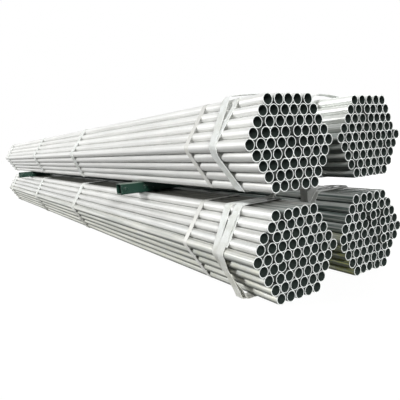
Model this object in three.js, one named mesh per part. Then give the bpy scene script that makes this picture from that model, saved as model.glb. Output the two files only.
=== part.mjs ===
// A stack of galvanised steel tubes: four hexagonal bundles, two lying on two. Hollow bearers
// keep the layers apart, and webbing slings and a steel band hold each bundle together.
//
// Millimetres, +Z up. X runs across the stack, and Y runs along the tubes, from their near ends
// to their far ends. The origin is at the bottom centre of the stack's box.
import * as THREE from 'three';

// Tubes.
const tubeDiameter = 48.3; // outside
const tubeWall = 3.2;
const tubeLength = 6000;
const tubesPerFace = 5; // tubes along each of a bundle's six faces
const boreSides = 8; // flats of a bore's outline

// Bundles. A setback moves a bundle along Y, away from the near end.
const upperBundleGap = 108; // clear width between the two upper bundles
const lowerBundleGap = 38;
const upperRightSetback = 31;
const lowerRightSetback = -8;

// Bearers between the layers: rectangular hollow section, open at both ends.
const bearerWidth = 75;
const bearerHeight = 65;
const bearerWall = 4;
const bearerOverhang = 33; // past the outermost tubes of the upper layer
const bearerInset = 1257.5; // from the tubes' ends to a bearer's middle

// Webbing slings. Each inset runs from the nearer tube ends to the sling's middle.
const slingWidth = 90; // two turns side by side
const slingThickness = 5; // two plies
const upperSlingInset = 215;
const upperNearInnerInset = 2340;
const upperFarInnerInset = 2150;
const lowerSlingInset = 255;
const lowerNearInnerInset = 2480;
const lowerFarInnerInset = 1980;

// Steel bands.
const bandWidth = 32;
const bandThickness = 1.2;
const upperBandInset = 440;
const lowerBandInset = 525;

// Where two pieces touch, this gap is left between their solids.
const touchGap = 0.3;

// A tube's outline has a flat every 30 degrees, so flats meet wherever two tubes touch.
const facetAngle = Math.PI / 6;
const tubeSides = Math.round(2 * Math.PI / facetAngle);
const tubeFlat = (tubeDiameter - touchGap) / 2; // from a tube's axis to a flat
const tubeCorner = tubeFlat / Math.cos(facetAngle / 2); // from a tube's axis to a corner
const boreRadius = tubeDiameter / 2 - tubeWall;
// A polygon with this corner radius has the area of the round bore.
const boreStep = 2 * Math.PI / boreSides;
const boreCorner = boreRadius * Math.sqrt(boreStep / Math.sin(boreStep));

// A bundle has one row for each tube across two of its faces, with the widest in the middle.
const rowsInBundle = 2 * tubesPerFace - 1;
const middleRow = tubesPerFace - 1;
const rowPitch = tubeDiameter * Math.cos(Math.PI / 6);
const cornerTubeReach = (tubesPerFace - 1) * tubeDiameter; // from a bundle's axis to a corner tube's
const faceDistance = cornerTubeReach * Math.cos(Math.PI / 6) + tubeFlat; // to a bundle's flat face
const cornerDistance = cornerTubeReach + tubeFlat; // to the outer flat of a corner tube
const bundleWidth = 2 * cornerTubeReach + tubeDiameter;

// Heights, from the floor up. The stack lies on the wraps that pass under its lower bundles.
const wrapThickness = Math.max(slingThickness, bandThickness);
const lowerAxisZ = wrapThickness + touchGap + faceDistance;
const bearerZ = lowerAxisZ + faceDistance + touchGap + bearerHeight / 2;
const upperAxisZ = bearerZ + bearerHeight / 2 + touchGap + faceDistance;

// Places across the stack. The left bundles are in line, and the upper pair is centred.
const leftAxisX = -(bundleWidth + upperBundleGap) / 2;
const upperRightAxisX = -leftAxisX;
const lowerRightAxisX = leftAxisX + bundleWidth + lowerBundleGap;
const bearerLength = 2 * (upperRightAxisX + bundleWidth / 2 + bearerOverhang);

// Places along the stack. The left bundles have no setback.
const nearestEnd = Math.min(0, upperRightSetback, lowerRightSetback);
const furthestEnd = tubeLength + Math.max(0, upperRightSetback, lowerRightSetback);
const nearEndY = -(nearestEnd + furthestEnd) / 2; // near ends of the left bundles
const farEndY = nearEndY + tubeLength;

// Where the wraps of a bundle lie, from its near tube ends.
function wrapPlaces(endInset, nearInnerInset, farInnerInset, bandInset) {
  const slings = [endInset, nearInnerInset, tubeLength - farInnerInset, tubeLength - endInset];
  return { slings, band: bandInset };
}
const upperWraps = wrapPlaces(upperSlingInset, upperNearInnerInset, upperFarInnerInset, upperBandInset);
const lowerWraps = wrapPlaces(lowerSlingInset, lowerNearInnerInset, lowerFarInnerInset, lowerBandInset);

const bundles = [
  { name: 'upper_left', x: leftAxisX, z: upperAxisZ, setback: 0, wraps: upperWraps },
  { name: 'upper_right', x: upperRightAxisX, z: upperAxisZ, setback: upperRightSetback, wraps: upperWraps },
  { name: 'lower_left', x: leftAxisX, z: lowerAxisZ, setback: 0, wraps: lowerWraps },
  { name: 'lower_right', x: lowerRightAxisX, z: lowerAxisZ, setback: lowerRightSetback, wraps: lowerWraps },
];

const galvanised = { color: 0xc9cdcc, roughness: 0.45, metalness: 0.85 };
const webbing = { color: 0xd8d6cb, roughness: 0.9, metalness: 0 };
const zincBand = { color: 0xd2d5d4, roughness: 0.35, metalness: 0.9 };
const greenPaint = { color: 0x2a4a3f, roughness: 0.55, metalness: 0 };

// A section drawn in X and Z, pushed along Y from 0 to length.
function extrudeAlongY(section, length) {
  const geometry = new THREE.ExtrudeGeometry(section, { depth: length, bevelEnabled: false });
  geometry.rotateX(Math.PI / 2);
  geometry.translate(0, length, 0);
  return geometry;
}

function namedMesh(name, geometry, look, x, y, z) {
  const mesh = new THREE.Mesh(geometry, new THREE.MeshStandardMaterial(look));
  mesh.name = name;
  mesh.position.set(x, y, z);
  return mesh;
}

function polygon(sides, corner, x) {
  const step = 2 * Math.PI / sides;
  const points = [];
  for (let i = 0; i < sides; i++) {
    const angle = (i + 0.5) * step;
    points.push(new THREE.Vector2(x + corner * Math.cos(angle), corner * Math.sin(angle)));
  }
  return points;
}

// One row of touching tubes. Neighbours share the flat where they touch, and the grooves between
// them are open above and below it.
function rowSection(count) {
  const cornersAbove = tubeSides / 2;
  const firstX = -(count - 1) / 2 * tubeDiameter;
  const top = [];
  const bores = [];
  for (let tube = 0; tube < count; tube++) {
    const x = firstX + tube * tubeDiameter;
    bores.push(new THREE.Path(polygon(boreSides, boreCorner, x)));
    for (let corner = 0; corner < cornersAbove; corner++) {
      const angle = Math.PI - (corner + 0.5) * facetAngle;
      const height = tubeCorner * Math.sin(angle);
      const sharedWithLast = corner === 0 && tube > 0;
      const sharedWithNext = corner === cornersAbove - 1 && tube < count - 1;
      if (sharedWithNext) top.push(new THREE.Vector2(x + tubeDiameter / 2, height));
      else if (!sharedWithLast) top.push(new THREE.Vector2(x + tubeCorner * Math.cos(angle), height));
    }
  }
  const bottom = top.map((point) => new THREE.Vector2(point.x, -point.y)).reverse();
  const section = new THREE.Shape([...top, ...bottom]);
  section.holes.push(...bores);
  return section;
}

// The outline of a wrap around a bundle, this far from the flats of its outer tubes: six long
// sides along the faces and six short ones round the corner tubes.
function wrapOutline(clearance) {
  const distance = (side) => (side % 2 ? faceDistance : cornerDistance) + clearance;
  const points = [];
  for (let side = 0; side < tubeSides; side++) {
    const angle = side * facetAngle;
    const nextAngle = angle + facetAngle;
    const here = distance(side);
    const next = distance(side + 1);
    points.push(new THREE.Vector2(
      (here * Math.sin(nextAngle) - next * Math.sin(angle)) / Math.sin(facetAngle),
      (next * Math.cos(angle) - here * Math.cos(nextAngle)) / Math.sin(facetAngle),
    ));
  }
  return points;
}

function wrapGeometry(thickness, width) {
  const section = new THREE.Shape(wrapOutline(touchGap + thickness));
  section.holes.push(new THREE.Path(wrapOutline(touchGap)));
  return extrudeAlongY(section, width);
}

function rectangle(width, height) {
  return [
    new THREE.Vector2(-width / 2, -height / 2),
    new THREE.Vector2(width / 2, -height / 2),
    new THREE.Vector2(width / 2, height / 2),
    new THREE.Vector2(-width / 2, height / 2),
  ];
}

function bearerGeometry() {
  const section = new THREE.Shape(rectangle(bearerWidth, bearerHeight));
  section.holes.push(new THREE.Path(rectangle(bearerWidth - 2 * bearerWall, bearerHeight - 2 * bearerWall)));
  const geometry = extrudeAlongY(section, bearerLength);
  geometry.translate(0, -bearerLength / 2, 0);
  geometry.rotateZ(Math.PI / 2);
  return geometry;
}

function addRows(group, bundle) {
  for (let row = 0; row < rowsInBundle; row++) {
    const count = rowsInBundle - Math.abs(row - middleRow);
    const geometry = extrudeAlongY(rowSection(count), tubeLength);
    const z = bundle.z + (middleRow - row) * rowPitch;
    const name = `${bundle.name}_tube_row_${row + 1}`;
    group.add(namedMesh(name, geometry, galvanised, bundle.x, nearEndY + bundle.setback, z));
  }
}

function addWrap(group, bundle, name, inset, thickness, width, look) {
  const y = nearEndY + bundle.setback + inset - width / 2;
  group.add(namedMesh(name, wrapGeometry(thickness, width), look, bundle.x, y, bundle.z));
}

function addWraps(group, bundle) {
  bundle.wraps.slings.forEach((inset, i) => {
    addWrap(group, bundle, `${bundle.name}_sling_${i + 1}`, inset, slingThickness, slingWidth, webbing);
  });
  addWrap(group, bundle, `${bundle.name}_band`, bundle.wraps.band, bandThickness, bandWidth, zincBand);
}

const stack = new THREE.Group();
for (const bundle of bundles) {
  addRows(stack, bundle);
  addWraps(stack, bundle);
}
stack.add(namedMesh('near_bearer', bearerGeometry(), greenPaint, 0, nearEndY + bearerInset, bearerZ));
stack.add(namedMesh('far_bearer', bearerGeometry(), greenPaint, 0, farEndY - bearerInset, bearerZ));

export default stack;
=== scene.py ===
"""Galvanised steel tubes in four strapped hexagonal bundles, stacked two on two with green bearers between.

In metres, where no comment says otherwise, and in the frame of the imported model: +Y along the tubes, X across
the stack, +Z up."""

import math
import random

import bpy
from mathutils import Matrix, Vector


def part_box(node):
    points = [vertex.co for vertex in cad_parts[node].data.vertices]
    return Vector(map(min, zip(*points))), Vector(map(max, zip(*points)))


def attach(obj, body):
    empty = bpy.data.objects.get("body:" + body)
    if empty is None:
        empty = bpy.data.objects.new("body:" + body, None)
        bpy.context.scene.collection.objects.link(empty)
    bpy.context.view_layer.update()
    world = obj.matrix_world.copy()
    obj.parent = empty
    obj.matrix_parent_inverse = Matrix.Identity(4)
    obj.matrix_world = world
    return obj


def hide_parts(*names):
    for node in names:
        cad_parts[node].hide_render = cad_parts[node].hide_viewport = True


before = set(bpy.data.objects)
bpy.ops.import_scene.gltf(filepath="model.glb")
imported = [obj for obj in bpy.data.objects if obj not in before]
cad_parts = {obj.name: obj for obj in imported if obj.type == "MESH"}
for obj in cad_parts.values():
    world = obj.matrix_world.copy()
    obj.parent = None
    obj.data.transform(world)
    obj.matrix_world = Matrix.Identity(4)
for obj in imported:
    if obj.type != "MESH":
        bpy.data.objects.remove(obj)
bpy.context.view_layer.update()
bpy.ops.object.select_all(action="DESELECT")
random.seed(61)

# ---------------------------------------------------------------- sizes

TUBE_DIAMETER = 0.0483
TUBE_RADIUS = TUBE_DIAMETER / 2
TUBE_WALL = 0.0032
TUBE_LENGTH = 6.0
TUBE_SIDES = 24
ROW_PITCH = TUBE_DIAMETER * math.sin(math.radians(60))
TUBES_IN_ROW = (5, 6, 7, 8, 9, 8, 7, 6, 5)
MIDDLE_ROW = 5

# Neighbours touch a tube at steps of this many degrees.
TOUCH_STEP = 60
# Dust and painted shade lie in the groove along a line of touch, and thin out this many degrees round
# the tube from it.
GROOVE_REACH = {"upper_left": 34, "upper_right": 34, "lower_left": 42, "lower_right": 34}
# How thick it lies at that line. 1 hides the zinc, so with more than 1 it is hidden for part of the way.
GROOVE_DUST_AND_SHADE = {"upper_left": 1.6, "upper_right": 1.4, "lower_left": 2.1, "lower_right": 2.0}
# The same on a bundle's upper half, which takes more light, so its grooves hold narrower and fainter
# painted shade. The lower right bundle and the top of the lower left one lie in shade and don't take this.
LIT_GROOVE_REACH = {"upper_left": 19, "upper_right": 19, "lower_left": 25}
LIT_GROOVE_DUST_AND_SHADE = 0.95
# Painted shade on what faces down in a bundle's lower half: how dark it gets, and how steeply it gets there.
UNDERSIDE_SHADE = {"upper_left": 0.3, "upper_right": 1.0, "lower_left": 0.85, "lower_right": 0.75}
UNDERSIDE_SHADE_SLOPE = 2
# How much olive colour a bundle's lower half takes as a painted reflection of the green ground: all of it
# on a row's first tubes, the left ones, and a share of it on the rest.
GROUND_REFLECTION_STRENGTH = {"upper_left": 0.0, "upper_right": 0.0, "lower_left": 0.18, "lower_right": 1.0}
GROUND_REFLECTING_TUBES = 2
GROUND_REFLECTION_SHARE = 0.4
# Each bundle's zinc has its own tone, and the shade of its single tubes varies at random between two shares
# of that. The lower right bundle's darker tone is painted shade of the lengthwise gap, and the cool tint of
# the right bundles is a painted reflection of green surroundings.
BUNDLE_TONE_AND_SHADE = {
    "upper_left": (1.0, 1.0, 1.0),
    "upper_right": (0.98, 1.0, 0.99),
    "lower_left": (0.98, 0.98, 0.98),
    "lower_right": (0.77, 0.8, 0.79),
}
TUBE_SHADES = (0.9, 1.04)
# How strong the painted streaks of shade and reflection are: on all of the lower right bundle, and on the
# lower rows of the others.
PAINTED_STREAKS = {"upper_left": 0.0, "upper_right": 0.6, "lower_left": 0.3, "lower_right": 0.85}
# How strong they are on the covered tops of the lower bundles, right of the first tube.
COVERED_PAINTED_STREAKS = 0.8
# The first tube there takes the painted shade of the covered top only from this far right of its middle,
# in tube radii.
COVERED_SHADE_EDGE = 0.4

# How far a tube's end lies back for each metre to the right of its bundle's middle, and above it.
END_SLANT = {
    "upper_left": (-0.12, 0.05),
    "upper_right": (-0.073, 0.0),
    "lower_left": (-0.092, 0.012),
    "lower_right": (-0.085, -0.042),
}
# A tube's end stands in or out of that slant by a few millimetres at random.
END_SCATTER = 0.0022
# Tubes that slid in (+) or out (-) further than the rest: row, place in the row.
SLID_TUBES = {
    "upper_left": {
        (1, 2): -0.006, (2, 2): -0.005, (2, 3): -0.005, (4, 3): 0.005, (4, 5): -0.01, (5, 6): -0.01,
        (5, 9): 0.005, (6, 4): -0.006, (7, 3): -0.01, (7, 7): -0.005, (8, 2): -0.006, (9, 1): -0.007,
        (9, 2): 0.005,
    },
    "upper_right": {
        (2, 3): -0.01, (2, 5): -0.005, (3, 4): -0.01, (3, 5): -0.005, (3, 7): 0.003, (4, 5): -0.006,
        (4, 8): 0.015, (5, 6): -0.009, (6, 1): 0.005, (6, 7): -0.008, (7, 1): 0.008, (7, 3): 0.01,
        (8, 1): 0.01, (8, 6): -0.007,
    },
    "lower_left": {
        (1, 2): -0.015, (1, 3): -0.009, (3, 1): 0.015, (4, 1): 0.01, (6, 3): 0.005, (6, 7): -0.005,
        (9, 1): -0.005, (9, 2): -0.005,
    },
    "lower_right": {
        (1, 3): 0.01, (1, 4): 0.009, (1, 5): 0.015, (2, 3): -0.005, (3, 4): -0.02, (3, 6): -0.015,
        (4, 3): 0.006, (4, 4): 0.012, (4, 6): -0.01, (5, 1): -0.015, (5, 2): -0.005, (6, 6): -0.018,
        (7, 7): 0.01, (9, 1): -0.008, (9, 3): 0.008,
    },
}

PLY_WIDTH = 0.046
PLY_THICKNESS = 0.0024
BAND_WIDTH = 0.032
BAND_THICKNESS = 0.0012
SEAL_SIZE = (0.044, 0.038, 0.0034)
# The cuts that divide a seal in eighths, and how flat its notches are pressed.
SEAL_CUTS = 7
NOTCH_SQUASH = 0.7
SEAL_BEVEL = 0.0005
# A ribbon's bevel, as a share of its thickness.
RIBBON_BEVEL = 0.3
TOUCH_GAP = 0.0001
# The flats that a strap takes to round a corner tube.
CORNER_STEPS = 4

BEARER_WALL = 0.004
BEARER_CORNER = 0.007
BEARER_BEVEL = 0.0006
BOLT_HEAD_RADIUS = 0.0135
BOLT_HEAD_HEIGHT = 0.009
WASHER_RADIUS = 0.0165
WASHER_THICKNESS = 0.0025
BOLT_BEVEL = 0.0009
BOLT_PLACES = (-0.491, -0.366, 0.366, 0.491)

# A face looks along an axis when its normal's share along it is above this.
ALONG_AXIS = 0.9

# The floor's glow to the camera and in reflections. The lamps add the rest of its white, and the shadow lacks
# that rest.
FLOOR_GLOW = 0.955
FLOOR_WIDTH = 80
SKY_LIGHT = 0.06
# Distant lamps: the direction that each shines in, its strength and how many degrees across it looks.
LAMPS = {
    "key_lamp": ((0.85, -0.55, -0.33), 2.45, 14),
    "front_lamp": ((0.2, 0.95, -0.33), 3.1, 8),
    "fill_lamp": ((-0.85, -0.45, -0.3), 1.5, 40),
}
# The camera's place, its turn in degrees, and its lens and sensor in millimetres.
CAMERA_PLACE = (-1.4133, -4.197, 0.6614)
CAMERA_TURN = (83.26, 3.86, -36.862)
CAMERA_LENS = 37.25
CAMERA_SENSOR = 36.0
CAMERA_SHIFT = (-0.1, -0.025)
CAMERA_REACH = 200.0

BUNDLES = ("upper_left", "upper_right", "lower_left", "lower_right")


# ---------------------------------------------------------------- small helpers

def linear(hex_colour):
    """An sRGB hex colour as a linear RGBA tuple."""
    channels = [int(hex_colour[i : i + 2], 16) / 255 for i in (1, 3, 5)]
    return (*[c / 12.92 if c <= 0.04045 else ((c + 0.055) / 1.055) ** 2.4 for c in channels], 1.0)


def add_node(tree, kind, links=None, values=None, **settings):
    """Adds a shader node with these settings.

    links: from an input to the socket that feeds it. values: from an input to its value or hex colour."""
    made = tree.nodes.new("ShaderNode" + kind)
    for key, value in settings.items():
        setattr(made, key, value)
    for key, value in (values or {}).items():
        made.inputs[key].default_value = linear(value) if isinstance(value, str) else value
    for key, socket in (links or {}).items():
        tree.links.new(socket, made.inputs[key])
    return made


def new_material(name):
    """A material with nodes: returns it, its tree, its surface shader and its object coordinates."""
    material = bpy.data.materials.new(name)
    material.use_nodes = True
    tree = material.node_tree
    shader = tree.nodes["Principled BSDF"]
    place = add_node(tree, "TexCoord")
    return material, tree, shader, place.outputs["Object"]


def scale_of(size):
    """The scale of a pattern of this size in millimetres."""
    return 1000 / size


# ---------------------------------------------------------------- materials

# A Mix node of colours: its inputs for the second colour's amount, the first and the second, and its output.
AMOUNT, FIRST, SECOND, MIXED = 0, 6, 7, 2

# The size of each finish's pattern, in millimetres. Where there are three sizes, they are along X, Y and Z.
SPANGLE = 9
WIPE_MARK = (5, 800, 5)
BLOOM_PATCH = 180
GROUND_REFLECTION_PATCH = 40
SHADE_STREAK = (9, 600, 9)
ZINC_RIPPLE = 12
ASH_PATCH = 20
SAW_WAVE = 20
SOIL_PATCH = 60
RUBBED_SPOT = 50
BRUSH_MARK = (250, 4, 4)
DUST_AND_HIGHLIGHT_PATCH = 30
PAINT_CHIP = 12
PAPER_GRAIN = 400
# The same across and along a strap.
WEBBING_RIB, WEBBING_WEFT = 5, 4
ROLLER_LINE = (3, 400)
# How far from the middle of the tubes' length the painted shade of the covered tops ends, and how far it
# lies full.
COVERED_SHADE_REACH = (3.02, 2.8)
# From what height the webbing turns warmer and darker towards the floor, and below what height fully.
LOW_TINT_REACH = (0.3, 0.08)


def galvanised_tube():
    """Hot-dip galvanised steel: pale grey zinc, faintly spangled, with long wipe marks and soft bloom."""
    material, tree, shader, place = new_material("hot_dip_galvanised_steel")
    spangle = add_node(tree, "TexVoronoi", {"Vector": place}, {"Scale": scale_of(SPANGLE)})
    crystal = add_node(tree, "SeparateColor", {"Color": spangle.outputs["Color"]})
    # Wipe marks, left as the tube was drawn out of the bath.
    scales = [scale_of(size) for size in WIPE_MARK]
    stretched = add_node(tree, "Mapping", {"Vector": place}, {"Scale": scales})
    wipe = add_node(tree, "TexNoise", {"Vector": stretched.outputs[0]}, {"Scale": 1.0, "Detail": 3.0})
    # Bloom: cloudy patches.
    bloom = add_node(tree, "TexNoise", {"Vector": place}, {"Scale": scale_of(BLOOM_PATCH), "Detail": 4.0})
    tone_and_shade = add_node(tree, "Attribute", attribute_name="tone_and_shade")
    crystal_tone = add_node(
        tree, "Mix", {AMOUNT: crystal.outputs["Red"]}, {FIRST: "#e6e7e5", SECOND: "#ecedeb"},
        data_type="RGBA",
    ).outputs[MIXED]
    wiped = add_node(
        tree, "MapRange", {"Value": wipe.outputs["Fac"]},
        {"From Min": 0.4, "From Max": 0.65, "To Min": 0.0, "To Max": 0.8},
    )
    streaked = add_node(
        tree, "Mix", {AMOUNT: wiped.outputs[0], FIRST: crystal_tone}, {SECOND: "#cfcec9"}, data_type="RGBA",
    ).outputs[MIXED]
    bloomed = add_node(
        tree, "MapRange", {"Value": bloom.outputs["Fac"]},
        {"From Min": 0.45, "From Max": 0.75, "To Min": 0.0, "To Max": 0.5},
    )
    clouded = add_node(
        tree, "Mix", {AMOUNT: bloomed.outputs[0], FIRST: streaked}, {SECOND: "#ecece8"}, data_type="RGBA",
    ).outputs[MIXED]
    # Painted reflection of the green ground: olive patches on the lower rows.
    ground_reflection = add_node(tree, "Attribute", attribute_name="ground_reflection")
    reflection_noise = add_node(tree, "TexNoise", {"Vector": place}, {"Scale": scale_of(GROUND_REFLECTION_PATCH), "Detail": 4.0})
    reflection_patches = add_node(
        tree, "MapRange", {"Value": reflection_noise.outputs["Fac"], "To Max": ground_reflection.outputs["Fac"]},
        {"From Min": 0.2, "From Max": 0.6, "To Min": 0.0},
    )
    clouded = add_node(
        tree, "Mix", {AMOUNT: reflection_patches.outputs[0], FIRST: clouded}, {SECOND: "#d2d07e"}, data_type="RGBA",
    ).outputs[MIXED]
    # Painted shade and reflection: dull teal streaks along the tubes, on the lower rows and in the shade of
    # the lengthwise gap.
    scales = [scale_of(size) for size in SHADE_STREAK]
    drawn_out = add_node(tree, "Mapping", {"Vector": place}, {"Scale": scales})
    runs = add_node(tree, "TexNoise", {"Vector": drawn_out.outputs[0]}, {"Scale": 1.0, "Detail": 2.0})
    streak_shade = add_node(tree, "Attribute", attribute_name="streak_shade")
    streak_amount = add_node(
        tree, "MapRange", {"Value": runs.outputs["Fac"], "To Max": streak_shade.outputs["Fac"]},
        {"From Min": 0.46, "From Max": 0.56, "To Min": 0.0},
    )
    clouded = add_node(
        tree, "Mix", {AMOUNT: streak_amount.outputs[0], FIRST: clouded}, {SECOND: "#5c706b"}, data_type="RGBA",
    ).outputs[MIXED]
    # Dust and painted shade in the grooves between tubes, and painted shade on all inside the bundle and on
    # what faces down in its lower half.
    groove_dust_and_shade = add_node(tree, "Attribute", attribute_name="groove_dust_and_shade")
    lodged_dust_and_shade = add_node(tree, "Math", {0: groove_dust_and_shade.outputs["Fac"]}, {1: 0.92}, operation="MULTIPLY")
    with_dust_and_painted_light = add_node(
        tree, "Mix", {AMOUNT: lodged_dust_and_shade.outputs[0], FIRST: clouded}, {SECOND: "#343b37"}, data_type="RGBA",
    ).outputs[MIXED]
    # Painted shade on the covered tops of the lower bundles, in the shadow of the upper ones, fading out about
    # 0.2 m in from the ends.
    split = add_node(tree, "SeparateXYZ", {"Vector": place})
    from_middle = add_node(tree, "Math", {0: split.outputs["Y"]}, operation="ABSOLUTE")
    under = add_node(
        tree, "MapRange", {"Value": from_middle.outputs[0]},
        {"From Min": COVERED_SHADE_REACH[0], "From Max": COVERED_SHADE_REACH[1], "To Min": 0.0, "To Max": 0.9},
    )
    covered_shade = add_node(tree, "Attribute", attribute_name="covered_shade")
    covered_shade_amount = add_node(tree, "Math", {0: under.outputs[0], 1: covered_shade.outputs["Fac"]}, operation="MULTIPLY")
    with_dust_and_painted_light = add_node(
        tree, "Mix", {AMOUNT: covered_shade_amount.outputs[0], FIRST: with_dust_and_painted_light}, {SECOND: "#4a4a42"}, data_type="RGBA",
    ).outputs[MIXED]
    # The tone holds each bundle's tone, with painted shade on the lower right one and a painted reflection of
    # green surroundings on the right ones, times each tube's own random shade.
    toned = add_node(
        tree, "Mix", {FIRST: with_dust_and_painted_light, SECOND: tone_and_shade.outputs["Color"]}, {AMOUNT: 1.0},
        data_type="RGBA", blend_type="MULTIPLY",
    ).outputs[MIXED]
    tree.links.new(toned, shader.inputs["Base Color"])
    rough = add_node(
        tree, "MapRange", {"Value": bloom.outputs["Fac"]},
        {"From Min": 0.3, "From Max": 0.7, "To Min": 0.29, "To Max": 0.38},
    )
    # Where the groove mark lies, the zinc is matt and not metallic.
    matt = add_node(
        tree, "MapRange", {"Value": groove_dust_and_shade.outputs["Fac"], "To Min": rough.outputs[0]}, {"To Max": 0.9},
    )
    tree.links.new(matt.outputs[0], shader.inputs["Roughness"])
    metal = add_node(tree, "MapRange", {"Value": groove_dust_and_shade.outputs["Fac"]}, {"To Min": 0.3, "To Max": 0.0})
    tree.links.new(metal.outputs[0], shader.inputs["Metallic"])
    # The zinc's skin ripples by a few hundredths of a millimetre.
    ripple = add_node(tree, "TexNoise", {"Vector": place}, {"Scale": scale_of(ZINC_RIPPLE), "Detail": 2.0})
    bump = add_node(tree, "Bump", {"Height": ripple.outputs["Fac"]}, {"Strength": 0.12, "Distance": 0.0004})
    tree.links.new(bump.outputs[0], shader.inputs["Normal"])
    return material


def bore_zinc():
    """Inside of the tube: zinc painted dark and a little green, as the painted shade of the deep bore, in
    patches.
    """
    material, tree, shader, place = new_material("bore_zinc_with_painted_shade")
    ash = add_node(tree, "TexNoise", {"Vector": place}, {"Scale": scale_of(ASH_PATCH), "Detail": 3.0})
    dull = add_node(
        tree, "Mix", {AMOUNT: ash.outputs["Fac"]}, {FIRST: "#343d3a", SECOND: "#56635d"}, data_type="RGBA",
    ).outputs[MIXED]
    tree.links.new(dull, shader.inputs["Base Color"])
    shader.inputs["Metallic"].default_value = 0.2
    shader.inputs["Roughness"].default_value = 0.6
    bump = add_node(tree, "Bump", {"Height": ash.outputs["Fac"]}, {"Strength": 0.4, "Distance": 0.0006})
    tree.links.new(bump.outputs[0], shader.inputs["Normal"])
    return material


def sawn_end():
    """Sawn and zinc-dipped tube end: bright, with saw marks."""
    material, tree, shader, place = new_material("sawn_zinc_end")
    # Saw marks are about 1 mm apart on the real one, too fine to show. The wave draws them about 9 mm apart.
    marks = add_node(
        tree, "TexWave", {"Vector": place},
        {"Scale": scale_of(SAW_WAVE), "Distortion": 3.0, "Detail": 2.0}, bands_direction="DIAGONAL",
    )
    bright = add_node(
        tree, "Mix", {AMOUNT: marks.outputs["Fac"]}, {FIRST: "#eff3f0", SECOND: "#f7fbf8"}, data_type="RGBA",
    ).outputs[MIXED]
    tree.links.new(bright, shader.inputs["Base Color"])
    shader.inputs["Metallic"].default_value = 0.1
    shader.inputs["Roughness"].default_value = 0.45
    bump = add_node(tree, "Bump", {"Height": marks.outputs["Fac"]}, {"Strength": 0.2, "Distance": 0.0003})
    tree.links.new(bump.outputs[0], shader.inputs["Normal"])
    return material


def woven_webbing():
    """Polyester sling webbing, woven flat: off-white, ribbed along its length and soiled in patches."""
    material, tree, shader, place = new_material("woven_polyester_webbing")
    # The map gives metres across and along the strap. The ribs are 2 mm apart on the real one, too fine to
    # show, so they and the weft are drawn coarser.
    weave_map = add_node(tree, "UVMap", uv_map="weave")
    split = add_node(tree, "SeparateXYZ", {"Vector": weave_map.outputs[0]})
    heights = []
    for axis, pitch in (("X", WEBBING_RIB), ("Y", WEBBING_WEFT)):
        angle = add_node(
            tree, "Math", {0: split.outputs[axis]}, {1: 2 * math.pi * scale_of(pitch)}, operation="MULTIPLY",
        )
        heights.append(add_node(tree, "Math", {0: angle.outputs[0]}, operation="SINE").outputs[0])
    weave = add_node(tree, "Math", {0: heights[1]}, {1: 0.35}, operation="MULTIPLY")
    weave = add_node(tree, "Math", {0: heights[0], 1: weave.outputs[0]}, operation="ADD")
    soil = add_node(
        tree, "TexNoise", {"Vector": weave_map.outputs[0]}, {"Scale": scale_of(SOIL_PATCH), "Detail": 4.0},
    )
    soiled = add_node(
        tree, "MapRange", {"Value": soil.outputs["Fac"]},
        {"From Min": 0.42, "From Max": 0.75, "To Min": 0.0, "To Max": 0.75},
    )
    cloth = add_node(
        tree, "Mix", {AMOUNT: soiled.outputs[0]}, {FIRST: "#f5f8f6", SECOND: "#cccec3"}, data_type="RGBA",
    ).outputs[MIXED]
    thread = add_node(
        tree, "MapRange", {"Value": weave.outputs[0]},
        {"From Min": -1.3, "From Max": 0.2, "To Min": 0.35, "To Max": 0.0},
    )
    ribbed = add_node(
        tree, "Mix", {AMOUNT: thread.outputs[0], FIRST: cloth}, {SECOND: "#8b8d83"}, data_type="RGBA",
    ).outputs[MIXED]
    # Towards the floor the webbing turns warmer and darker.
    height = add_node(tree, "SeparateXYZ", {"Vector": place})
    toward_ground = add_node(
        tree, "MapRange", {"Value": height.outputs["Z"]},
        {"From Min": LOW_TINT_REACH[0], "From Max": LOW_TINT_REACH[1], "To Min": 0.0, "To Max": 0.35},
    )
    low_tinted = add_node(
        tree, "Mix", {AMOUNT: toward_ground.outputs[0], FIRST: ribbed}, {SECOND: "#a9a188"}, data_type="RGBA",
    ).outputs[MIXED]
    # Grime and painted shade: darker on some slings and in some places than elsewhere. Where a sling lies
    # in the lengthwise gap or under an upper bundle, the darkening is painted shade.
    grime_and_shade = add_node(tree, "Attribute", attribute_name="grime_and_shade")
    with_grime_and_shade = add_node(
        tree, "Mix", {AMOUNT: grime_and_shade.outputs["Fac"], FIRST: low_tinted}, {SECOND: "#4b4c46"}, data_type="RGBA",
    ).outputs[MIXED]
    tree.links.new(with_grime_and_shade, shader.inputs["Base Color"])
    shader.inputs["Roughness"].default_value = 0.85
    shader.inputs["Sheen Weight"].default_value = 0.25
    shader.inputs["Sheen Roughness"].default_value = 0.4
    bump = add_node(tree, "Bump", {"Height": weave.outputs[0]}, {"Strength": 0.5, "Distance": 0.0006})
    tree.links.new(bump.outputs[0], shader.inputs["Normal"])
    return material


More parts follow.
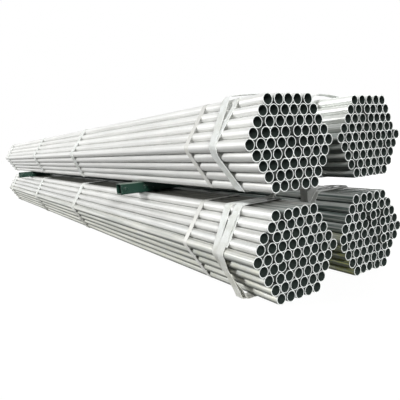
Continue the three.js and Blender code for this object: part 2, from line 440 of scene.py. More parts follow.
def zinc_strapping():
    """Cold-rolled strapping, thinly zinc-coated: bright satin, with roller lines and dull spots."""
    material, tree, shader, _ = new_material("zinc_coated_strapping")
    strap_map = add_node(tree, "UVMap", uv_map="weave")
    scales = [*(scale_of(size) for size in ROLLER_LINE), 1.0]
    stretched = add_node(tree, "Mapping", {"Vector": strap_map.outputs[0]}, {"Scale": scales})
    lines = add_node(tree, "TexNoise", {"Vector": stretched.outputs[0]}, {"Scale": 1.0, "Detail": 2.0})
    rubs = add_node(
        tree, "TexNoise", {"Vector": strap_map.outputs[0]}, {"Scale": scale_of(RUBBED_SPOT), "Detail": 3.0},
    )
    satin = add_node(
        tree, "Mix", {AMOUNT: lines.outputs["Fac"]}, {FIRST: "#cfd0ce", SECOND: "#dfe0dd"}, data_type="RGBA",
    ).outputs[MIXED]
    rubbed = add_node(
        tree, "Mix", {AMOUNT: rubs.outputs["Fac"], FIRST: satin}, {SECOND: "#c6c5be"}, data_type="RGBA",
    ).outputs[MIXED]
    tree.links.new(rubbed, shader.inputs["Base Color"])
    rough = add_node(
        tree, "MapRange", {"Value": rubs.outputs["Fac"]}, {"To Min": 0.3, "To Max": 0.5},
    )
    tree.links.new(rough.outputs[0], shader.inputs["Roughness"])
    shader.inputs["Metallic"].default_value = 0.3
    return material


def bearer_enamel():
    """Green enamel brushed on steel section: satin, brush-marked, lighter on top with dust and a painted
    highlight, and chipped.
    """
    material, tree, shader, place = new_material("green_brushed_enamel")
    scales = [scale_of(size) for size in BRUSH_MARK]
    stretched = add_node(tree, "Mapping", {"Vector": place}, {"Scale": scales})
    strokes = add_node(tree, "TexNoise", {"Vector": stretched.outputs[0]}, {"Scale": 1.0, "Detail": 3.0})
    paint = add_node(
        tree, "Mix", {AMOUNT: strokes.outputs["Fac"]}, {FIRST: "#0c2a20", SECOND: "#173b2f"},
        data_type="RGBA",
    ).outputs[MIXED]
    # What faces up is lighter: settled dust, and a painted highlight of the light from above.
    facing = add_node(tree, "NewGeometry")
    split = add_node(tree, "SeparateXYZ", {"Vector": facing.outputs["Normal"]})
    top_noise = add_node(tree, "TexNoise", {"Vector": place}, {"Scale": scale_of(DUST_AND_HIGHLIGHT_PATCH), "Detail": 4.0})
    upward = add_node(
        tree, "MapRange", {"Value": split.outputs["Z"]},
        {"From Min": 0.3, "From Max": 1.0, "To Min": 0.0, "To Max": 1.1},
    )
    dust_and_painted_light = add_node(
        tree, "Math", {0: upward.outputs[0], 1: top_noise.outputs["Fac"]}, operation="MULTIPLY",
    )
    with_dust_and_painted_light = add_node(
        tree, "Mix", {AMOUNT: dust_and_painted_light.outputs[0], FIRST: paint}, {SECOND: "#a9b8ab"}, data_type="RGBA",
    ).outputs[MIXED]
    # Chips go down to grey primer.
    chips = add_node(tree, "TexNoise", {"Vector": place}, {"Scale": scale_of(PAINT_CHIP), "Detail": 5.0})
    chipped = add_node(
        tree, "MapRange", {"Value": chips.outputs["Fac"]},
        {"From Min": 0.68, "From Max": 0.72, "To Min": 0.0, "To Max": 1.0},
    )
    worn = add_node(
        tree, "Mix", {AMOUNT: chipped.outputs[0], FIRST: with_dust_and_painted_light}, {SECOND: "#5d6862"}, data_type="RGBA",
    ).outputs[MIXED]
    tree.links.new(worn, shader.inputs["Base Color"])
    shader.inputs["Roughness"].default_value = 0.42
    shader.inputs["Specular IOR Level"].default_value = 0.25
    bump = add_node(tree, "Bump", {"Height": strokes.outputs["Fac"]}, {"Strength": 0.3, "Distance": 0.0005})
    tree.links.new(bump.outputs[0], shader.inputs["Normal"])
    return material


def floor_paper():
    """Matt studio paper. It is grey as a surface, which keeps the shadow, and its glow makes it white."""
    material, tree, shader, place = new_material("white_studio_paper")
    grain = add_node(tree, "TexNoise", {"Vector": place}, {"Scale": scale_of(PAPER_GRAIN), "Detail": 3.0})
    paper = add_node(
        tree, "Mix", {AMOUNT: grain.outputs["Fac"]}, {FIRST: "#4a4a48", SECOND: "#50504e"}, data_type="RGBA",
    ).outputs[MIXED]
    tree.links.new(paper, shader.inputs["Base Color"])
    shader.inputs["Roughness"].default_value = 0.9
    shader.inputs["Specular IOR Level"].default_value = 0.1
    return material


ZINC = galvanised_tube()
BORE = bore_zinc()
SAWN = sawn_end()
WEBBING = woven_webbing()
STRAPPING = zinc_strapping()
ENAMEL = bearer_enamel()


# ---------------------------------------------------------------- modelling helpers

def apply_place():
    """Puts the active object's place, turn and scale into its mesh."""
    bpy.ops.object.transform_apply(location=True, rotation=True, scale=True)


def finish_with(piece, kind, **settings):
    """Adds a modifier to the piece and applies it."""
    bpy.ops.object.select_all(action="DESELECT")
    bpy.context.view_layer.objects.active = piece
    piece.select_set(True)
    modifier = piece.modifiers.new(kind.lower(), kind)
    for key, value in settings.items():
        setattr(modifier, key, value)
    bpy.ops.object.modifier_apply(modifier=modifier.name)


def break_edges(piece, width, degrees=60, segments=1):
    """Bevels the edges that turn by more than this."""
    finish_with(
        piece, "BEVEL", width=width, segments=segments, limit_method="ANGLE",
        angle_limit=math.radians(degrees),
    )


def smooth(piece, degrees=35):
    """Smooth shading across edges that turn by less than this."""
    bpy.ops.object.select_all(action="DESELECT")
    bpy.context.view_layer.objects.active = piece
    piece.select_set(True)
    bpy.ops.object.shade_smooth_by_angle(angle=math.radians(degrees))
    piece.select_set(False)


def join_pieces(name, parts):
    """Joins the parts into the first and names it."""
    bpy.ops.object.select_all(action="DESELECT")
    for part in parts:
        part.select_set(True)
    bpy.context.view_layer.objects.active = parts[0]
    if len(parts) > 1:
        bpy.ops.object.join()
    joined = bpy.context.view_layer.objects.active
    joined.name = name
    joined.data.name = name
    joined.select_set(False)
    return joined


def place_in_frame(piece, node):
    """The piece rides on the stack and stands for its node."""
    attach(piece, "root")
    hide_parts(node)


def mark_points(mesh, name, values):
    """Gives each vertex its value under this name, for the materials to read."""
    marks = mesh.attributes.new(name, "FLOAT", "POINT")
    marks.data.foreach_set("value", values)


def bundle_frame(bundle):
    """The x and z of a bundle's middle, and the y of its near and far ends."""
    low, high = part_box(f"{bundle}_tube_row_5")
    return (low.x + high.x) / 2, (low.z + high.z) / 2, low.y, high.y


# ---------------------------------------------------------------- tubes

def shape_tube():
    """One open tube along Y, its middle at the origin: zinc outside, painted dark inside as shade, bright on
    its cut ends.
    """
    bpy.ops.mesh.primitive_cylinder_add(
        vertices=TUBE_SIDES, radius=TUBE_RADIUS, depth=TUBE_LENGTH, end_fill_type="NOTHING",
        rotation=(math.pi / 2, 0, 0),
    )
    tube = bpy.context.object
    tube.name = "tube"
    apply_place()
    finish_with(tube, "SOLIDIFY", thickness=TUBE_WALL, offset=-1.0)
    for material in (ZINC, BORE, SAWN):
        tube.data.materials.append(material)
    for face in tube.data.polygons:
        outward = face.normal.x * face.center.x + face.normal.z * face.center.z
        if abs(face.normal.y) > ALONG_AXIS:
            face.material_index = 2
        elif outward < 0:
            face.material_index = 1
    smooth(tube, 40)
    return tube


def touched_sides(row, place):
    """The directions, in degrees from +X towards +Z, in which a tube of a bundle touches its neighbours."""
    count = TUBES_IN_ROW[row - 1]
    sides = []
    if place > 1:
        sides.append(180)
    if place < count:
        sides.append(0)
    for other, left, right in ((row - 1, 120, 60), (row + 1, 240, 300)):
        if 1 <= other <= len(TUBES_IN_ROW):
            shift = (TUBES_IN_ROW[other - 1] - count) / 2
            for side, beside in ((left, place + shift - 0.5), (right, place + shift + 0.5)):
                if 1 <= beside <= TUBES_IN_ROW[other - 1]:
                    sides.append(side)
    return sides


def mark_grooves(mesh, sides, row, bundle):
    """Marks painted shade with some dust: fully on all that lies inside the bundle, in the grooves of its outer
    faces, and on what faces down in its lower half."""
    marks = []
    for vertex in mesh.vertices:
        angle = math.degrees(math.atan2(vertex.co.z, vertex.co.x))
        in_shade = bundle == "lower_right" or (bundle == "lower_left" and row == 1 and vertex.co.z > 0)
        lit_from_above = row <= MIDDLE_ROW and not in_shade
        reach = LIT_GROOVE_REACH[bundle] if lit_from_above else GROOVE_REACH[bundle]
        dust_and_painted_light = LIT_GROOVE_DUST_AND_SHADE if lit_from_above else GROOVE_DUST_AND_SHADE[bundle]
        nearest, next_nearest = sorted(abs((angle - side + 180) % 360 - 180) for side in sides)[:2]
        # Between two lines of touch that are one step apart, the skin faces a gap inside the bundle, and is
        # painted fully dark there as shade.
        inside = round(nearest + next_nearest) == TOUCH_STEP
        lodged_dust_and_shade = min(1.0, dust_and_painted_light * max(0.0, 1 - nearest / reach))
        if row >= MIDDLE_ROW:
            facing_down = -math.sin(math.radians(angle))
            lodged_dust_and_shade = max(lodged_dust_and_shade, UNDERSIDE_SHADE[bundle] * min(1.0, max(0.0, facing_down * UNDERSIDE_SHADE_SLOPE)))
        marks.append(1.0 if inside else lodged_dust_and_shade)
    mark_points(mesh, "groove_dust_and_shade", marks)


def lay_row(tube, bundle, row):
    """Lays copies of the tube side by side as one row of a bundle, each set in or out a little."""
    middle_x, middle_z, near, far = bundle_frame(bundle)
    slant_x, slant_z = END_SLANT[bundle]
    count = TUBES_IN_ROW[row - 1]
    up = (MIDDLE_ROW - row) * ROW_PITCH
    covered = bundle.startswith("lower") and row == 1
    # The painted streaks and the painted ground reflection come in over two rows, the streaks one row higher
    # up.
    streak_rows = 1.0 if bundle == "lower_right" else min(1.0, max(0.0, (row - MIDDLE_ROW + 2) / 2))
    toward_ground = min(1.0, max(0.0, (row - MIDDLE_ROW + 1) / 2))
    laid = []
    for place in range(1, count + 1):
        across = (place - (count + 1) / 2) * TUBE_DIAMETER
        back = slant_x * across + slant_z * up + random.gauss(0, END_SCATTER)
        back += SLID_TUBES[bundle].get((row, place), 0)
        copy = tube.copy()
        copy.data = tube.data.copy()
        points = copy.data.vertices
        shade = random.uniform(*TUBE_SHADES)
        tone_and_shade = copy.data.attributes.new("tone_and_shade", "FLOAT_COLOR", "POINT")
        tone_and_shade.data.foreach_set("color", [*(shade * c for c in BUNDLE_TONE_AND_SHADE[bundle]), 1.0] * len(points))
        # Painted streaks of shade and reflection.
        marked = COVERED_PAINTED_STREAKS if covered and place > 1 else PAINTED_STREAKS[bundle] * streak_rows
        mark_points(copy.data, "streak_shade", [marked] * len(points))
        # Painted shade on the covered tops of the lower bundles.
        edge = COVERED_SHADE_EDGE * TUBE_RADIUS if place == 1 else -TUBE_RADIUS
        mark_points(copy.data, "covered_shade", [float(covered and v.co.z > 0 and v.co.x > edge) for v in points])
        # Painted reflection of the green ground on the lower rows.
        reflection_level = GROUND_REFLECTION_STRENGTH[bundle] * toward_ground * (1.0 if place <= GROUND_REFLECTING_TUBES else GROUND_REFLECTION_SHARE)
        mark_points(copy.data, "ground_reflection", [reflection_level] * len(points))
        mark_grooves(copy.data, touched_sides(row, place), row, bundle)
        copy.data.transform(Matrix.Translation((middle_x + across, (near + far) / 2 + back, middle_z + up)))
        bpy.context.scene.collection.objects.link(copy)
        laid.append(copy)
    piece = join_pieces(f"{bundle}_round_tubes_{row}", laid)
    place_in_frame(piece, f"{bundle}_tube_row_{row}")


one_tube = shape_tube()
for bundle in BUNDLES:
    for row in range(1, len(TUBES_IN_ROW) + 1):
        lay_row(one_tube, bundle, row)
bpy.data.objects.remove(one_tube)


# ---------------------------------------------------------------- straps

# A strap rounds a bundle's six corner tubes in this order, from half way up the lower right side.
CORNER_TUBES = (
    Vector((4 * TUBE_DIAMETER, 0, 0)),
    Vector((2 * TUBE_DIAMETER, 0, 4 * ROW_PITCH)),
    Vector((-2 * TUBE_DIAMETER, 0, 4 * ROW_PITCH)),
    Vector((-4 * TUBE_DIAMETER, 0, 0)),
    Vector((-2 * TUBE_DIAMETER, 0, -4 * ROW_PITCH)),
    Vector((2 * TUBE_DIAMETER, 0, -4 * ROW_PITCH)),
)


def side_before(corner):
    """The outward normal of the side that a strap follows up to this corner."""
    step = (CORNER_TUBES[corner % 6] - CORNER_TUBES[(corner - 1) % 6]).normalized()
    return Vector((step.z, 0, -step.x))


def begin_ribbon(name, start, end, width):
    """The first length of a ribbon, as a plane whose far edge is left selected for extruding."""
    turn = math.atan2(-(end.z - start.z), end.x - start.x)
    bpy.ops.mesh.primitive_plane_add(size=1, location=(start + end) / 2, rotation=(0, turn, 0))
    ribbon = bpy.context.object
    ribbon.name = name
    ribbon.scale = (math.hypot(end.x - start.x, end.z - start.z), width, 1)
    apply_place()
    bpy.ops.object.mode_set(mode="EDIT")
    bpy.ops.mesh.select_all(action="DESELECT")
    bpy.ops.object.mode_set(mode="OBJECT")
    for vertex in (1, 3):
        ribbon.data.vertices[vertex].select = True
    for edge in ribbon.data.edges:
        edge.select = set(edge.vertices) == {1, 3}
    bpy.ops.object.mode_set(mode="EDIT")
    return ribbon


def draw_on(at, points):
    """Extrudes the ribbon's last edge from one point to the next, and returns where it ends."""
    for point in points:
        bpy.ops.mesh.extrude_region_move(TRANSFORM_OT_translate={"value": point - at})
        at = point
    return at


def finish_ribbon(ribbon, width, thickness):
    """Maps the ribbon, thickens it and breaks its edges."""
    bpy.ops.object.mode_set(mode="OBJECT")
    map_strap(ribbon, width)
    finish_with(ribbon, "SOLIDIFY", thickness=thickness, offset=0.0)
    break_edges(ribbon, thickness * RIBBON_BEVEL)
    smooth(ribbon)
    return ribbon


def run_strap(name, bundle, width, thickness, places, lifts, slack):
    """A strap round a bundle: one ribbon, drawn on from its first edge by extruding along the flats and
    spinning round the corner tubes.

    places: for the start, each corner in turn and the end, how far the strap lies behind the near ends.
    lifts: for the same, the gap between the tubes and the strap.
    slack: where the strap doesn't follow the tubes. It may hold
    - waypoints: for a corner, the points of the flat before it, as (share of the flat, place, lift)
    - loops: for a corner, the points that the strap takes there, from its tube's middle
    - widths: for a corner, how much wider the strap gets there
    - tail: further points after the end, from the bundle's middle and near end."""
    waypoints = slack.get("waypoints", {})
    loops = slack.get("loops", {})
    widths = slack.get("widths", {})
    middle_x, middle_z, near, _ = bundle_frame(bundle)
    middle = Vector((middle_x, 0, middle_z))
    corners = len(places) - 2

    def strap_point(centre, normal, place, lift):
        point = middle + centre + normal * (TUBE_RADIUS + thickness / 2 + lift)
        point.y = near + place
        return point

    def loop_points(index):
        centre = middle + CORNER_TUBES[(index - 1) % 6]
        return [Vector((centre.x + x, near + places[index], centre.z + z)) for x, z in loops.get(index, ())]

    half_side = (CORNER_TUBES[0] - CORNER_TUBES[5]) / 2
    start = strap_point(CORNER_TUBES[0] - half_side, side_before(0), places[0], lifts[0])
    at = strap_point(CORNER_TUBES[0], side_before(0), places[1], lifts[1])
    strap = begin_ribbon(name, start, at, width)
    for index in range(1, corners + 1):
        corner = (index - 1) % 6
        here, there = CORNER_TUBES[corner], CORNER_TUBES[(corner + 1) % 6]
        if index in loops:
            at = draw_on(at, loop_points(index)[1:])
        else:
            axis_point = middle + here
            axis_point.y = at.y
            bpy.ops.mesh.spin(
                steps=CORNER_STEPS, angle=math.radians(60), center=axis_point, axis=(0, 1, 0),
                use_auto_merge=False,
            )
            at = axis_point + side_before(corner + 1) * (at - axis_point).length
        normal = side_before(corner + 1)
        stops = [
            strap_point(here.lerp(there, share), normal, place, lift)
            for share, place, lift in waypoints.get(index + 1, ())
        ]
        if index + 1 in loops:
            stops.append(loop_points(index + 1)[0])
        else:
            end = here.lerp(there, 0.5) if index == corners else there
            stops.append(strap_point(end, normal, places[index + 1], lifts[index + 1]))
        at = draw_on(at, stops)
        if index + 1 in widths:
            bpy.ops.transform.resize(value=(1, widths[index + 1], 1), center_override=at)
    draw_on(at, [Vector((middle_x + x, near + place, middle_z + z)) for x, place, z in slack.get("tail", ())])
    return finish_ribbon(strap, width, thickness)


def map_strap(strap, width):
    """Maps the ribbon in metres across and along. Its vertices are pairs, in order from its first edge."""
    mesh = strap.data
    order = [0, 2, 1, 3, *range(4, len(mesh.vertices))]
    along = {}
    distance = 0.0
    for first in range(0, len(order), 2):
        pair = sorted(order[first : first + 2], key=lambda v: mesh.vertices[v].co.y)
        if first:
            distance += (mesh.vertices[pair[0]].co - mesh.vertices[last[0]].co).length
        for across, vertex in zip((0.0, width), pair):
            along[vertex] = (across, distance)
        last = pair
    layer = mesh.uv_layers.active or mesh.uv_layers.new()
    layer.name = "weave"
    for loop in mesh.loops:
        layer.data[loop.index].uv = along[loop.vertex_index]


# For each sling, from near to far: how far behind the near ends its two turns lie, at the top, at the left
# corner, at the bottom and at the right corner. The second turn lies over the first where they cross.
SLING_TURNS = {
    "upper_left": (
        ((0.182, 0.225, 0.219, 0.190), (0.246, 0.235, 0.205, 0.232)),
        ((2.254, 2.326, 2.440, 2.338), (2.272, 2.346, 2.452, 2.357)),
        ((3.774, 3.844, 3.936, 3.856), (3.791, 3.862, 3.949, 3.874)),
        ((5.776, 5.768, 5.778, 5.774), (5.796, 5.790, 5.792, 5.794)),
    ),
    "upper_right": (
        ((0.226, 0.232, 0.230, 0.228), (0.246, 0.238, 0.250, 0.252)),
        ((2.327, 2.331, 2.343, 2.333), (2.345, 2.351, 2.359, 2.351)),
        ((3.838, 3.839, 3.844, 3.849), (3.856, 3.859, 3.860, 3.865)),
        ((5.777, 5.782, 5.772, 5.773), (5.795, 5.800, 5.788, 5.793)),
    ),
    "lower_left": (
        ((0.305, 0.276, 0.178, 0.250), (0.224, 0.236, 0.198, 0.260)),
        ((2.466, 2.477, 2.468, 2.469), (2.486, 2.493, 2.484, 2.487)),
        ((4.007, 4.016, 4.007, 4.011), (4.025, 4.036, 4.025, 4.029)),
        ((5.726, 5.738, 5.742, 5.733), (5.746, 5.754, 5.756, 5.751)),
    ),
    "lower_right": (
        ((0.236, 0.240, 0.246, 0.240), (0.244, 0.250, 0.256, 0.250)),
        ((2.472, 2.473, 2.468, 2.469), (2.490, 2.491, 2.484, 2.487)),
        ((4.012, 4.013, 4.008, 4.010), (4.030, 4.031, 4.024, 4.030)),
        ((5.736, 5.737, 5.734, 5.736), (5.754, 5.755, 5.750, 5.754)),
    ),
}
# The same for each bundle's band: top, left corner, bottom, right corner.
BAND_PLACES = {
    "upper_left": (0.433, 0.456, 0.430, 0.440),
    "upper_right": (0.440, 0.446, 0.436, 0.438),
    "lower_left": (0.519, 0.540, 0.510, 0.522),
    "lower_right": (0.528, 0.524, 0.520, 0.526),
}
SECOND_TURN_LIFT = PLY_THICKNESS + TOUCH_GAP
# Where a sling is slack: the lift at some corners, then waypoints, loops, widths and a tail for run_strap.
# Corner 1 is the right one of the first turn, 2 top right, 3 top left, 4 left, 5 bottom left, 6 bottom right,
# and 7 to 12 are the same of the second turn.
SLACK = {
    ("upper_left", 1): {
        "lifts": {8: 0.014, 9: 0.013},
        "widths": {3: 0.6, 5: 1 / 0.6},
        "waypoints": {
            5: ((0.15, 0.252, 0.0001), (0.6, 0.236, 0.0001)),
            9: ((0.25, 0.212, 0.018), (0.5, 0.226, 0.019), (0.75, 0.238, 0.017)),
            10: ((0.35, 0.243, 0.008), (0.7, 0.239, 0.004)),
            11: ((0.15, 0.243, 0.004), (0.6, 0.224, 0.0028)),
        },
        "tail": (
            (0.180, 0.222, -0.088), (0.196, 0.205, -0.096), (0.207, 0.190, -0.120), (0.211, 0.172, -0.170),
            (0.212, 0.160, -0.215), (0.212, 0.157, -0.280), (0.209, 0.156, -0.345),
        ),
    },
    ("upper_right", 1): {
        "lifts": {8: 0.006, 9: 0.029},
        "waypoints": {
            9: ((0.15, 0.250, 0.016), (0.35, 0.249, 0.023), (0.6, 0.248, 0.028), (0.85, 0.247, 0.030)),
            10: ((0.15, 0.245, 0.022), (0.4, 0.242, 0.010), (0.7, 0.239, 0.004)),
        },
    },
    ("lower_left", 1): {
        "waypoints": {
            5: ((0.42, 0.272, 0.005), (0.63, 0.252, 0.011), (0.82, 0.205, 0.021)),
            10: ((0.3, 0.231, 0.006), (0.6, 0.234, 0.004)),
            11: ((0.33, 0.244, 0.014), (0.5, 0.225, 0.022), (0.67, 0.215, 0.030), (0.83, 0.203, 0.038)),
        },
        "loops": {
            5: ((-0.055, -0.0205), (-0.052, -0.0245), (-0.042, -0.02545), (0.0, -0.02545)),
            11: ((-0.067, -0.0235), (-0.063, -0.0271), (-0.052, -0.02795), (0.0, -0.02795)),
        },
    },
    ("lower_right", 1): {
        "lifts": {8: 0.006, 9: 0.015, 10: 0.006},
        "waypoints": {
            9: ((0.3, 0.244, 0.012), (0.7, 0.246, 0.017)),
            10: ((0.2, 0.246, 0.020), (0.45, 0.248, 0.021), (0.75, 0.250, 0.012)),
        },
    },
}


# The loose ends of two near slings: width and points. The upper one's narrow end hangs down to the lower
# bundle. The lower one's last turn lies wavy over the others, goes over the top and curls up.
LOOSE_ENDS = {
    "upper_left": (
        0.025,
        (
            (-0.150, -2.770, 0.4468), (-0.158, -2.766, 0.441), (-0.1635, -2.757, 0.4176),
            (-0.166, -2.745, 0.400), (-0.172, -2.738, 0.3902), (-0.184, -2.734, 0.3896),
        ),
    ),
    "lower_left": (
        0.046,
        (
            (-0.4755, -2.790, 0.2275), (-0.4660, -2.786, 0.2440), (-0.4552, -2.792, 0.2640),
            (-0.4425, -2.786, 0.2840), (-0.4330, -2.792, 0.3030), (-0.4205, -2.785, 0.3220),
            (-0.4105, -2.790, 0.3410), (-0.4015, -2.786, 0.3605), (-0.3960, -2.784, 0.3760),
            (-0.3860, -2.782, 0.3885), (-0.3700, -2.780, 0.3952), (-0.3400, -2.778, 0.3955),
            (-0.2900, -2.777, 0.3955), (-0.2500, -2.777, 0.3955), (-0.2250, -2.776, 0.3990),
            (-0.2050, -2.776, 0.4035), (-0.1800, -2.777, 0.4040), (-0.1600, -2.778, 0.4000),
            (-0.1480, -2.779, 0.3940),
        ),
    ),
}
# How grimy a near sling is, and one further back. The lower right near sling's darkening is painted shade,
# as it hangs in the lengthwise gap.
NEAR_GRIME_AND_SHADE = {"upper_left": 0.0, "upper_right": 0.05, "lower_left": 0.0, "lower_right": 0.6}
BACK_GRIME = 0.1
# Where slings are painted darker as shade, and how much: the upper left bundle's in the lengthwise gap,
# right of an x and below a z, and the lower left bundle's on its covered top, right of an x and above a z.
GAP_SHADE = (-0.12, 0.54, 0.85)
COVERED_WEBBING_SHADE = (-0.36, 0.378, 0.5)


def turn_places(top, left, bottom, right):
    """A turn's places at the six corners."""
    return [right, top, top, left, bottom, bottom]


def make_sling(bundle, number):
    """A webbing sling of two turns, with its slack, and the loose end that belongs to it."""
    first, second = SLING_TURNS[bundle][number - 1]
    slack = SLACK.get((bundle, number), {})
    places = [first[3], *turn_places(*first), *turn_places(*second), second[3]]
    # The sling rises to its second turn at the sixth corner.
    lifts = [TOUCH_GAP] * 6 + [SECOND_TURN_LIFT + TOUCH_GAP] * 8
    for index, lift in slack.get("lifts", {}).items():
        lifts[index] = lift
    sling = run_strap(f"{bundle}_webbing_{number}", bundle, PLY_WIDTH, PLY_THICKNESS, places, lifts, slack)
    parts = [sling]
    if number == 1 and bundle in LOOSE_ENDS:
        width, points = LOOSE_ENDS[bundle]
        points = [Vector(point) for point in points]
        loose_end = begin_ribbon("loose_end", points[0], points[1], width)
        draw_on(points[1], points[2:])
        parts.append(finish_ribbon(loose_end, width, PLY_THICKNESS))
    sling = join_pieces(f"{bundle}_webbing_{number}", parts)
    sling.data.materials.append(WEBBING)
    gap_x, gap_z, gap_shade_level = GAP_SHADE
    covered_x, covered_z, covered_shade_level = COVERED_WEBBING_SHADE
    grime_and_shade = []
    for vertex in sling.data.vertices:
        level = NEAR_GRIME_AND_SHADE[bundle] if number == 1 else BACK_GRIME
        # Painted shade where a sling lies in the lengthwise gap or on a covered top.
        if bundle == "upper_left" and vertex.co.x > gap_x and vertex.co.z < gap_z:
            level = gap_shade_level
        if bundle == "lower_left" and vertex.co.x > covered_x and vertex.co.z > covered_z:
            level = covered_shade_level
        grime_and_shade.append(level)
    mark_points(sling.data, "grime_and_shade", grime_and_shade)
    place_in_frame(sling, f"{bundle}_sling_{number}")


def make_seal(bundle):
    """The folded steel seal over a band's joint, crimped by two notches in each edge."""
    length, width, thickness = SEAL_SIZE
    bpy.ops.mesh.primitive_cube_add(size=1)
    seal = bpy.context.object
    seal.name = "seal"
    seal.scale = SEAL_SIZE
    apply_place()
    bpy.ops.object.mode_set(mode="EDIT")
    bpy.ops.mesh.subdivide(number_cuts=SEAL_CUTS)
    bpy.ops.mesh.select_all(action="DESELECT")
    bpy.ops.object.mode_set(mode="OBJECT")
    for vertex in seal.data.vertices:
        at_notch = math.isclose(abs(vertex.co.x), length / 4, rel_tol=0.01)
        on_edge = math.isclose(abs(vertex.co.y), width / 2, rel_tol=0.01)
        vertex.select = at_notch and on_edge
    bpy.ops.object.mode_set(mode="EDIT")
    bpy.ops.transform.resize(value=(1, BAND_WIDTH / width, NOTCH_SQUASH), center_override=(0, 0, 0))
    bpy.ops.object.mode_set(mode="OBJECT")
    break_edges(seal, SEAL_BEVEL)
    weave_map = seal.data.uv_layers[0]
    weave_map.name = "weave"
    for loop in seal.data.loops:
        corner = seal.data.vertices[loop.vertex_index].co
        weave_map.data[loop.index].uv = (corner.y, corner.x)
    middle_x, middle_z, near, _ = bundle_frame(bundle)
    outward = side_before(0)
    joint = (CORNER_TUBES[0] + CORNER_TUBES[5]) / 2 + outward * (TUBE_RADIUS + TOUCH_GAP + thickness / 2)
    seal.location = (middle_x + joint.x, near + BAND_PLACES[bundle][3], middle_z + joint.z)
    seal.rotation_euler = (0, math.atan2(outward.x, outward.z), 0)
    apply_place()
    smooth(seal)
    return seal


def make_band(bundle):
    """A steel band of one turn, with its seal half way up the lower right side."""
    top, left, bottom, right = BAND_PLACES[bundle]
    places = [right, *turn_places(top, left, bottom, right), right]
    lifts = [TOUCH_GAP] * 7 + [BAND_THICKNESS + 2 * TOUCH_GAP]
    band = run_strap(f"{bundle}_strapping", bundle, BAND_WIDTH, BAND_THICKNESS, places, lifts, {})
    band = join_pieces(f"{bundle}_strapping", [band, make_seal(bundle)])
    band.data.materials.append(STRAPPING)
    place_in_frame(band, f"{bundle}_band")


for bundle in BUNDLES:
    for number in range(1, 5):
        make_sling(bundle, number)
    make_band(bundle)


# ---------------------------------------------------------------- bearers

def make_bolt(x, y, z, outward):
    """A hexagon bolt head on its washer, on a bearer's face that looks along Y: outward is -1 or 1."""
    bpy.ops.mesh.primitive_cylinder_add(
        vertices=24, radius=WASHER_RADIUS, depth=WASHER_THICKNESS, rotation=(math.pi / 2, 0, 0),
        location=(x, y + outward * WASHER_THICKNESS / 2, z),
    )
    washer = bpy.context.object
    apply_place()
    bpy.ops.mesh.primitive_cylinder_add(
        vertices=6, radius=BOLT_HEAD_RADIUS, depth=BOLT_HEAD_HEIGHT, rotation=(math.pi / 2, 0.2, 0),
        location=(x, y + outward * (WASHER_THICKNESS + BOLT_HEAD_HEIGHT / 2), z),
    )
    head = bpy.context.object
    apply_place()
    for part in (washer, head):
        break_edges(part, BOLT_BEVEL, degrees=40, segments=2)
    return [washer, head]


def make_bearer(node):
    """An open length of hollow section with rounded corners and bolts through it near its ends."""
    low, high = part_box(node)
    bpy.ops.mesh.primitive_cube_add(size=1, location=(low + high) / 2, scale=high - low)
    bearer = bpy.context.object
    apply_place()
    bpy.ops.object.mode_set(mode="EDIT")
    bpy.ops.mesh.select_all(action="DESELECT")
    bpy.ops.mesh.select_mode(type="FACE")
    bpy.ops.object.mode_set(mode="OBJECT")
    for face in bearer.data.polygons:
        face.select = abs(face.normal.x) > ALONG_AXIS
    bpy.ops.object.mode_set(mode="EDIT")
    bpy.ops.mesh.delete(type="ONLY_FACE")
    bpy.ops.mesh.select_mode(type="EDGE")
    bpy.ops.mesh.select_all(action="DESELECT")
    bpy.ops.object.mode_set(mode="OBJECT")
    for edge in bearer.data.edges:
        first, second = (bearer.data.vertices[v].co for v in edge.vertices)
        edge.select = abs(first.x - second.x) > 0.1
    bpy.ops.object.mode_set(mode="EDIT")
    bpy.ops.mesh.bevel(offset=BEARER_CORNER, segments=4, affect="EDGES")
    bpy.ops.object.mode_set(mode="OBJECT")
    finish_with(bearer, "SOLIDIFY", thickness=BEARER_WALL, offset=-1.0)
    break_edges(bearer, BEARER_BEVEL)
    parts = [bearer]
    for x in BOLT_PLACES:
        parts += make_bolt(x, low.y, (low.z + high.z) / 2, -1)
        parts += make_bolt(x, high.y, (low.z + high.z) / 2, 1)
    bearer = join_pieces(f"{node}_section", parts)
    smooth(bearer)
    bearer.data.materials.clear()
    bearer.data.materials.append(ENAMEL)
    place_in_frame(bearer, node)


for node in ("near_bearer", "far_bearer"):
    make_bearer(node)


# ---------------------------------------------------------------- floor, light and camera

def seen_share(tree):
    """1 for the rays that the camera sees, directly, in reflections or through glass, and 0 for the rest."""
    path = add_node(tree, "LightPath")
    seen = path.outputs["Is Camera Ray"]
    for ray in ("Is Glossy Ray", "Is Transmission Ray"):
        seen = add_node(tree, "Math", {0: seen, 1: path.outputs[ray]}, operation="MAXIMUM").outputs[0]
    return seen


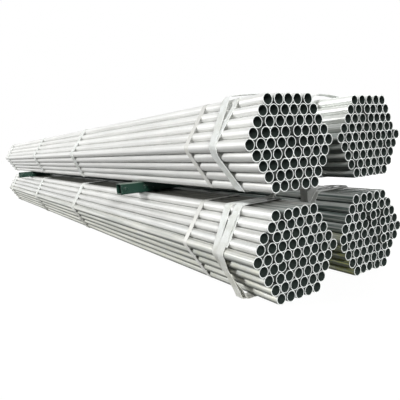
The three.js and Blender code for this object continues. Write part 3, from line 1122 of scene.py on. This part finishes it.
def lay_floor():
    """A wide pale floor that shows white and keeps the stack's shadow."""
    bpy.ops.mesh.primitive_plane_add(size=FLOOR_WIDTH, location=(0, 0, 0))
    floor = bpy.context.object
    floor.name = "studio_floor"
    apply_place()
    material = floor_paper()
    tree = material.node_tree
    shader = tree.nodes["Principled BSDF"]
    share = add_node(tree, "Math", {0: seen_share(tree)}, {1: FLOOR_GLOW}, operation="MULTIPLY")
    glow = add_node(tree, "Emission", {"Strength": share.outputs[0]}, {"Color": "#ffffff"})
    both = add_node(tree, "AddShader", {0: shader.outputs[0], 1: glow.outputs[0]})
    tree.links.new(both.outputs[0], tree.nodes["Material Output"].inputs["Surface"])
    floor.data.materials.append(material)


def light_world():
    """A plain sky: white to the camera and in reflections, faint as a light."""
    world = bpy.data.worlds.new("studio_sky")
    bpy.context.scene.world = world
    world.use_nodes = True
    tree = world.node_tree
    sky = tree.nodes["Background"]
    sky.inputs["Color"].default_value = linear("#f6f9fb")
    sky.inputs["Strength"].default_value = SKY_LIGHT
    white = add_node(tree, "Background", values={"Color": "#ffffff", "Strength": 1.0})
    mixed = add_node(tree, "MixShader", {0: seen_share(tree), 1: sky.outputs[0], 2: white.outputs[0]})
    tree.links.new(mixed.outputs[0], tree.nodes["World Output"].inputs["Surface"])


def hang_lamp(name, direction, strength, softness):
    """A distant soft lamp that shines along this direction."""
    lamp = bpy.data.lights.new(name, "SUN")
    lamp.energy = strength
    lamp.angle = math.radians(softness)
    holder = bpy.data.objects.new(name, lamp)
    holder.rotation_euler = Vector(direction).to_track_quat("-Z", "Y").to_euler()
    bpy.context.scene.collection.objects.link(holder)


def set_camera():
    """Low and close to the near left corner, looking along the stack."""
    camera = bpy.data.cameras.new("camera")
    camera.sensor_width = CAMERA_SENSOR
    camera.lens = CAMERA_LENS
    camera.shift_x, camera.shift_y = CAMERA_SHIFT
    camera.clip_end = CAMERA_REACH
    holder = bpy.data.objects.new("camera", camera)
    holder.location = CAMERA_PLACE
    holder.rotation_euler = [math.radians(turn) for turn in CAMERA_TURN]
    bpy.context.scene.collection.objects.link(holder)
    bpy.context.scene.camera = holder


lay_floor()
light_world()
for lamp_name, (direction, strength, softness) in LAMPS.items():
    hang_lamp(lamp_name, direction, strength, softness)
set_camera()
bpy.context.scene.view_settings.view_transform = "Standard"
